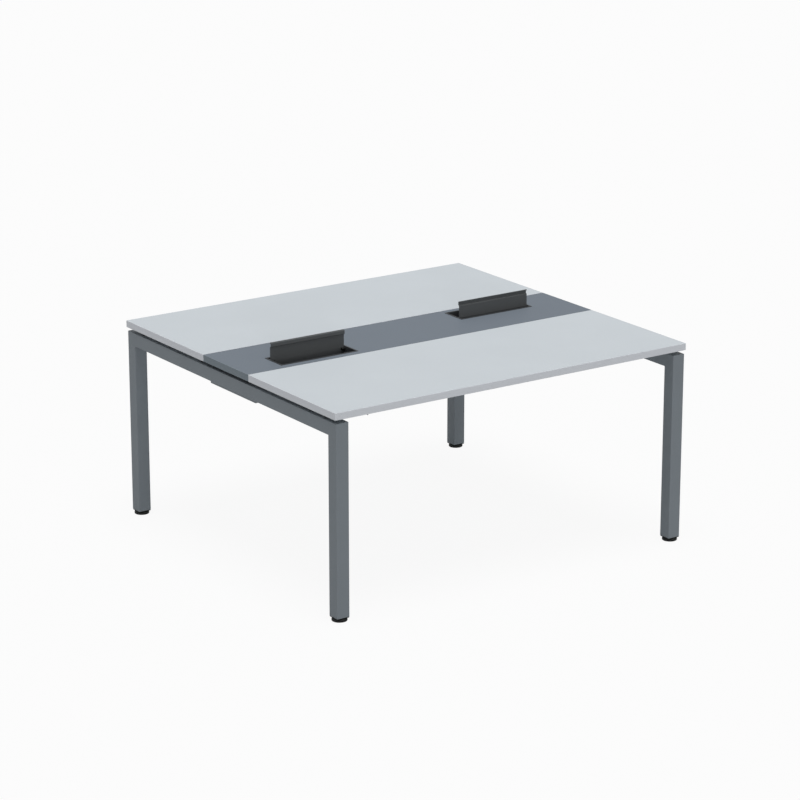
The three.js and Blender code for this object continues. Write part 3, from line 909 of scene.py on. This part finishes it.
def add_rail_caps():
    """Push-in caps over the access holes in the end rails, under the worktops' spacers."""
    profile = turned_profile(
        (0, 0, 0),
        (CAP_RADIUS, 0, 0),
        (CAP_RADIUS, CAP_HEIGHT, CAP_CROWN),
        (CAP_DIMPLE_RADIUS, CAP_HEIGHT, MOULDED_ARRIS),
        (CAP_DIMPLE_FLOOR_RADIUS, CAP_DIMPLE_FLOOR, MOULDED_ARRIS),
        (0, CAP_DIMPLE_FLOOR, 0),
    )
    mesh = bmesh.new()
    for end in ENDS:
        rail_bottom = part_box(f"end_rail_{end}")[0].z
        for user in USERS:
            for spot in ("front", "back"):
                middle = middle_and_size(f"rail_spacer_{end}_{user}_{spot}")[0]
                add_turned(mesh, profile, Vector((middle.x, middle.y, rail_bottom)), DOWN)
    add_piece("rail_caps", mesh, "black_plastic")


# Feet

def add_pad(node):
    """A turned pad with a round shoulder and a socket for the stud."""
    middle, size = middle_and_size(node)
    radius = size.x / 2
    profile = turned_profile(
        (0, 0, 0),
        (radius, 0, PAD_BOTTOM_ROUND),
        (radius, PAD_SHOULDER_HEIGHT, PAD_SHOULDER_ROUND),
        (radius - PAD_SHOULDER_WIDTH, size.z, PAD_TOP_ROUND),
        (PAD_SOCKET_RADIUS, size.z, MOULDED_ARRIS),
        (PAD_SOCKET_RADIUS, size.z - PAD_SOCKET_DEPTH, MOULDED_ARRIS),
        (0, size.z - PAD_SOCKET_DEPTH, 0),
    )
    mesh = bmesh.new()
    add_turned(mesh, profile, Vector((middle.x, middle.y, middle.z - size.z / 2)))
    stand_for(node, mesh)


def add_stud(node):
    """A threaded rod with chamfered ends."""
    middle, size = middle_and_size(node)
    outer = size.x / 2
    count = round(size.z / THREAD_PITCH * THREAD_STEPS)
    side = [Vector((outer, size.z * i / count)) for i in range(count + 1)]

    def thread(angle, radius, height):
        turn = (height / THREAD_PITCH - angle / (2 * math.pi)) % 1
        flank = min(max((abs(2 * turn - 1) - THREAD_CREST) / THREAD_FLANKS, 0), 1)
        from_end = min(height, size.z - height)
        return min(outer - THREAD_DEPTH * flank, outer - THREAD_DEPTH + from_end)

    profile = [Vector((0, 0)), *side, Vector((0, size.z))]
    mesh = bmesh.new()
    add_turned(mesh, profile, Vector((middle.x, middle.y, middle.z - size.z / 2)), reach=thread)
    stand_for(node, mesh)


def add_feet():
    for end in ENDS:
        for user in USERS:
            add_pad(f"foot_pad_{end}_{user}")
            add_stud(f"foot_stud_{end}_{user}")


# Flaps, drawn for the left one, which half a turn takes to the right one

def add_lid(node, to_desk):
    """A drawn plate with a finger groove behind the nose at its free edge."""
    low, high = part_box("flap_lid_left")
    pivot = middle_and_size("flap_pin_left_a")[0]
    tail = low.z - pivot.z
    reach = high.z - pivot.z
    nose_start = reach - LID_NOSE_WIDTH
    floor_end = nose_start - LID_GROOVE_RETURN_WIDTH
    floor_start = floor_end - LID_GROOVE_FLOOR_WIDTH
    floor_out = LID_PIVOT_DEPTH - LID_GROOVE_DEPTH
    face = [Vector(point) for point in (
        (LID_PIVOT_DEPTH, tail),
        (LID_PIVOT_DEPTH, floor_start - LID_GROOVE_SLOPE_WIDTH),
        (floor_out, floor_start),
        (floor_out, floor_end),
        (LID_PIVOT_DEPTH, nose_start),
        (LID_PIVOT_DEPTH, reach),
    )]
    runs = [(end - start).normalized() for start, end in zip(face, face[1:])]
    inner = [face[i + 1] + mitre(runs[i], runs[i + 1], LID_THICKNESS) for i in range(len(runs) - 1)]
    through = Vector((LID_THICKNESS, 0))
    back = [face[0] - through, *inner, face[-1] - through]
    face_radii = [LID_ARRIS, LID_ROUND, LID_HOLLOW, LID_HOLLOW, LID_ROUND, LID_ARRIS]
    back_radii = [LID_ARRIS, LID_HOLLOW, LID_ROUND, LID_ROUND, LID_HOLLOW, LID_ARRIS]

    def along_x(u, v, w):
        return to_desk(Vector((w, pivot.y + u, pivot.z + v)))

    mesh = bmesh.new()
    add_bar(mesh, face + back[::-1], face_radii + back_radii[::-1], (low.x, high.x), along_x, LID_ARRIS)
    stand_for(node, mesh)


def add_lugs(end, to_desk):
    """Round lugs on the lid's back that take the pins, each with a shoulder towards the collar's wall."""
    low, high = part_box("flap_lid_left")
    pivot = middle_and_size("flap_pin_left_a")[0]
    shoulder = (LUG_BORE_RADIUS + LUG_RADIUS) / 2
    profile = [Vector(point) for point in (
        (LUG_BORE_RADIUS, -LUG_SHOULDER),
        (shoulder, -LUG_SHOULDER),
        (shoulder, 0),
        (LUG_RADIUS, 0),
        (LUG_RADIUS, LUG_LENGTH),
        (LUG_BORE_RADIUS, LUG_LENGTH),
    )]
    mesh = bmesh.new()
    for x, inward in ((low.x, 1), (high.x, -1)):
        place = to_desk(Vector((x, pivot.y, pivot.z)))
        add_turned(mesh, profile, place, to_desk(Vector((inward, 0, 0))))
    add_piece(f"flap_lugs_{end}", mesh, "black_plastic", BODY_OF[f"flap_lid_{end}"])


def add_pin(node):
    """A plain pin with eased ends."""
    middle, size = middle_and_size(node)
    radius, end = size.y / 2, size.x / 2
    profile = turned_profile((0, -end, 0), (radius, -end, PIN_ARRIS), (radius, end, PIN_ARRIS), (0, end, 0))
    mesh = bmesh.new()
    add_turned(mesh, profile, middle, (1, 0, 0))
    stand_for(node, mesh)


def add_flaps():
    for end, to_desk in (("left", as_drawn), ("right", half_turn)):
        dress(f"flap_collar_{end}", MOULDED_ARRIS)
        add_lid(f"flap_lid_{end}", to_desk)
        add_lugs(end, to_desk)
        for mark in ("a", "b"):
            add_pin(f"flap_pin_{end}_{mark}")


# Stage

def seen_directly(tree):
    """1 for what the camera, a reflection or a clear piece shows, and 0 for light that only bounces."""
    path = tree.nodes.new("ShaderNodeLightPath")
    total = path.outputs["Is Camera Ray"]
    for ray in ("Is Glossy Ray", "Is Transmission Ray"):
        largest = tree.nodes.new("ShaderNodeMath")
        largest.operation = "MAXIMUM"
        tree.links.new(total, largest.inputs[0])
        tree.links.new(path.outputs[ray], largest.inputs[1])
        total = largest.outputs["Value"]
    return total


def floor_material():
    """Pale floor that keeps the shadow and is close to white where the camera sees it."""
    material, tree, output = bare_material("floor")
    matt = tree.nodes.new("ShaderNodeBsdfDiffuse")
    matt.inputs["Color"].default_value = (*FLOOR_COLOUR, 1)
    glow = tree.nodes.new("ShaderNodeEmission")
    share = tree.nodes.new("ShaderNodeMath")
    share.operation = "MULTIPLY"
    share.inputs[1].default_value = FLOOR_GLOW_SHARE
    mix = tree.nodes.new("ShaderNodeMixShader")
    tree.links.new(seen_directly(tree), share.inputs[0])
    tree.links.new(share.outputs["Value"], mix.inputs["Fac"])
    tree.links.new(matt.outputs["BSDF"], mix.inputs[1])
    tree.links.new(glow.outputs["Emission"], mix.inputs[2])
    tree.links.new(mix.outputs["Shader"], output.inputs["Surface"])
    return material


def add_floor():
    mesh = bmesh.new()
    bmesh.ops.create_grid(mesh, x_segments=1, y_segments=1, size=FLOOR_SIZE / 2)
    data = bpy.data.meshes.new("floor")
    mesh.to_mesh(data)
    mesh.free()
    floor = bpy.data.objects.new("floor", data)
    bpy.context.scene.collection.objects.link(floor)
    data.materials.append(floor_material())


def add_sky():
    """Even white light all round, and plain white where it is seen."""
    world = bpy.data.worlds.new("studio")
    world.use_nodes = True
    bpy.context.scene.world = world
    tree = world.node_tree
    background = tree.nodes["Background"]
    strength = tree.nodes.new("ShaderNodeMapRange")
    strength.inputs["To Min"].default_value = SKY_STRENGTH
    strength.inputs["To Max"].default_value = 1
    background.inputs["Color"].default_value = (1, 1, 1, 1)
    tree.links.new(seen_directly(tree), strength.inputs["Value"])
    tree.links.new(strength.outputs["Result"], background.inputs["Strength"])


def add_light(name, strength, spread, place):
    """A broad light from far off, in the direction of a place. The spread is in degrees."""
    light = bpy.data.lights.new(name, "SUN")
    light.energy = strength
    light.angle = math.radians(spread)
    lamp = bpy.data.objects.new(name, light)
    lamp.rotation_euler = Vector(place).to_track_quat("Z", "Y").to_euler()
    bpy.context.scene.collection.objects.link(lamp)


def add_camera():
    data = bpy.data.cameras.new("camera")
    data.sensor_width = CAMERA_SENSOR
    data.lens = CAMERA_LENS
    data.clip_end = CAMERA_REACH
    camera = bpy.data.objects.new("camera", data)
    camera.location = CAMERA_PLACE
    camera.rotation_euler = (math.radians(90 - CAMERA_PITCH), 0, math.radians(CAMERA_YAW))
    bpy.context.scene.collection.objects.link(camera)
    bpy.context.scene.camera = camera


bpy.context.scene.view_settings.view_transform = "Standard"
add_camera()
add_floor()
add_sky()
add_light("key_light", KEY_STRENGTH, KEY_SPREAD, KEY_FROM)
add_light("fill_light", FILL_STRENGTH, FILL_SPREAD, FILL_FROM)
add_boards()
add_frame()
add_welds()
add_bolts()
add_screws()
add_rail_caps()
add_feet()
add_flaps()
